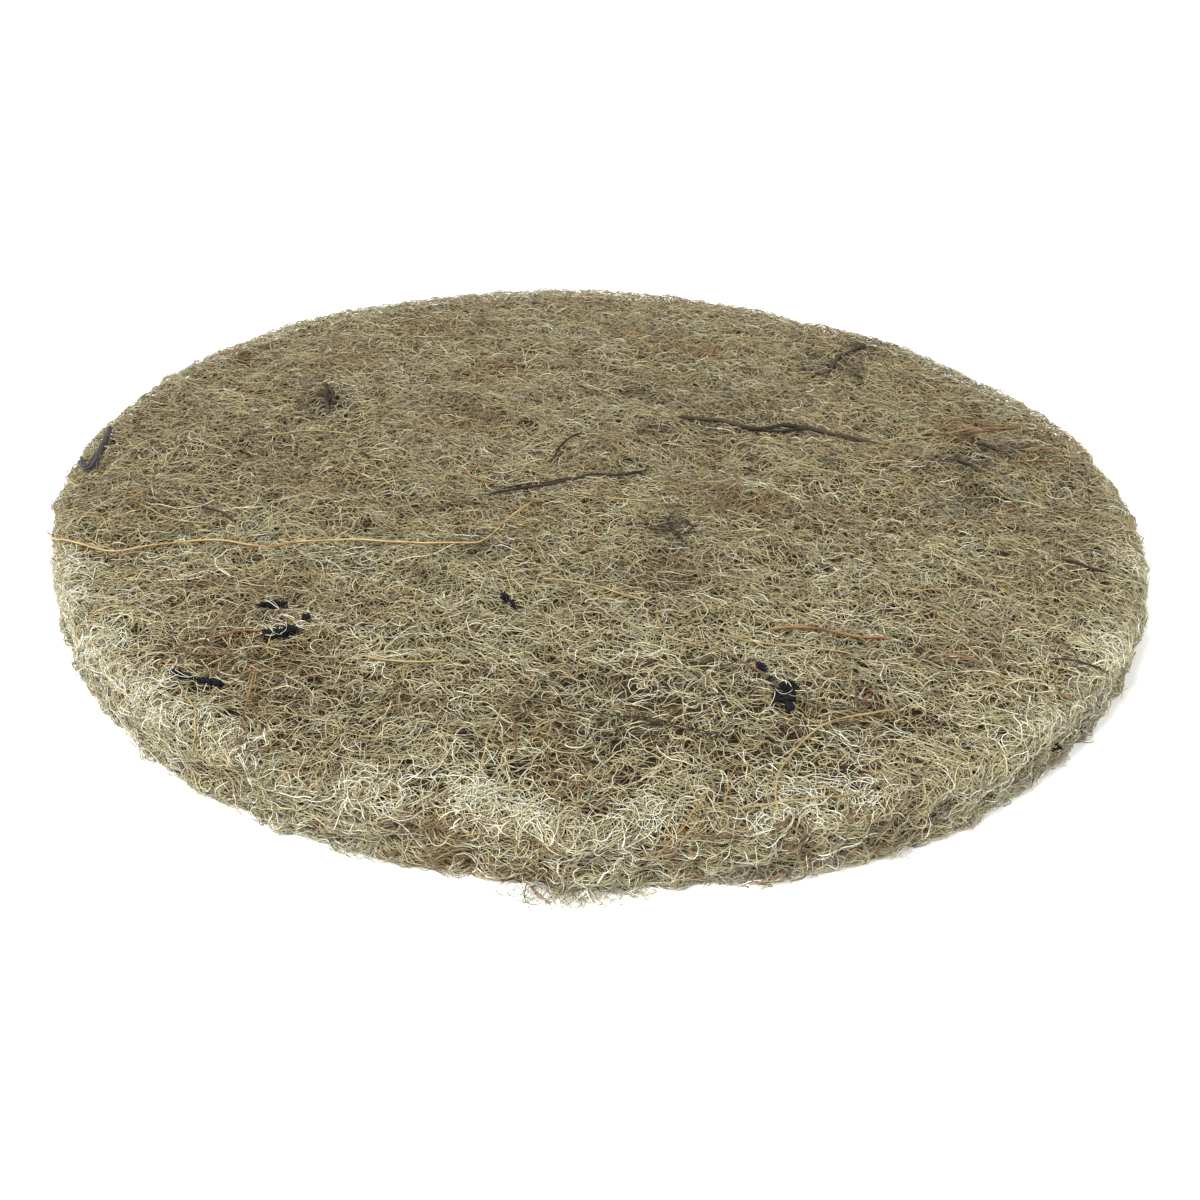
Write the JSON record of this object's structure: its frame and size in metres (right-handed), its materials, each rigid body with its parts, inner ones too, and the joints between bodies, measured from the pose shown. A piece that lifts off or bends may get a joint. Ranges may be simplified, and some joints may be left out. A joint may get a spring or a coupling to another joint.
{
  "type": "felt polishing disc",
  "caption": "Flat round disc of coarse, loosely pressed natural-fibre felt with a soft rounded edge and stray hairs, plain on both faces and without a bore, for polishing stones.",
  "frame": {"origin": "middle of the flat back face", "axes": "+Z along the disc's axis, out of the working face; X and Y lie in the back face"},
  "size_m": [0.0751, 0.076, 0.0042],
  "materials": {
    "felt_back_web": "coarse matted felt, flat underside with stray fibre ends",
    "felt_core_web": "coarse matted felt, laminar fibres at the rim",
    "felt_face_web": "coarse matted felt, tangled open nap, pale tufts along the edge",
    "long_golden_hair": "smooth translucent golden hair",
    "curled_golden_hair": "smooth translucent golden hair",
    "fine_golden_hairs": "thin golden hairs",
    "russet_kemp_hairs": "thick glossy russet kemp hair",
    "brown_guard_hairs": "thin brown hairs",
    "dark_guard_hairs": "dull dark hairs, partly under the nap",
    "black_wool_tufts": "matted blue-black wool",
    "rim_dark_lock": "dark curved lock in the rim",
    "plant_flecks": "dry brown plant matter",
    "stray_edge_hair": "loose brown hair"
  },
  "bodies": {
    "root": {"felt_back_web": "felt_back_web", "felt_core_web": "felt_core_web", "felt_face_web": "felt_face_web", "long_golden_hair": "long_golden_hair", "curled_golden_hair": "curled_golden_hair", "fine_golden_hairs": "fine_golden_hairs", "russet_kemp_hairs": "russet_kemp_hairs", "brown_guard_hairs": "brown_guard_hairs", "dark_guard_hairs": "dark_guard_hairs", "black_wool_tufts": "black_wool_tufts", "rim_dark_lock": "rim_dark_lock", "plant_flecks": "plant_flecks", "stray_edge_hair": "stray_edge_hair"}
  },
  "joints": []
}
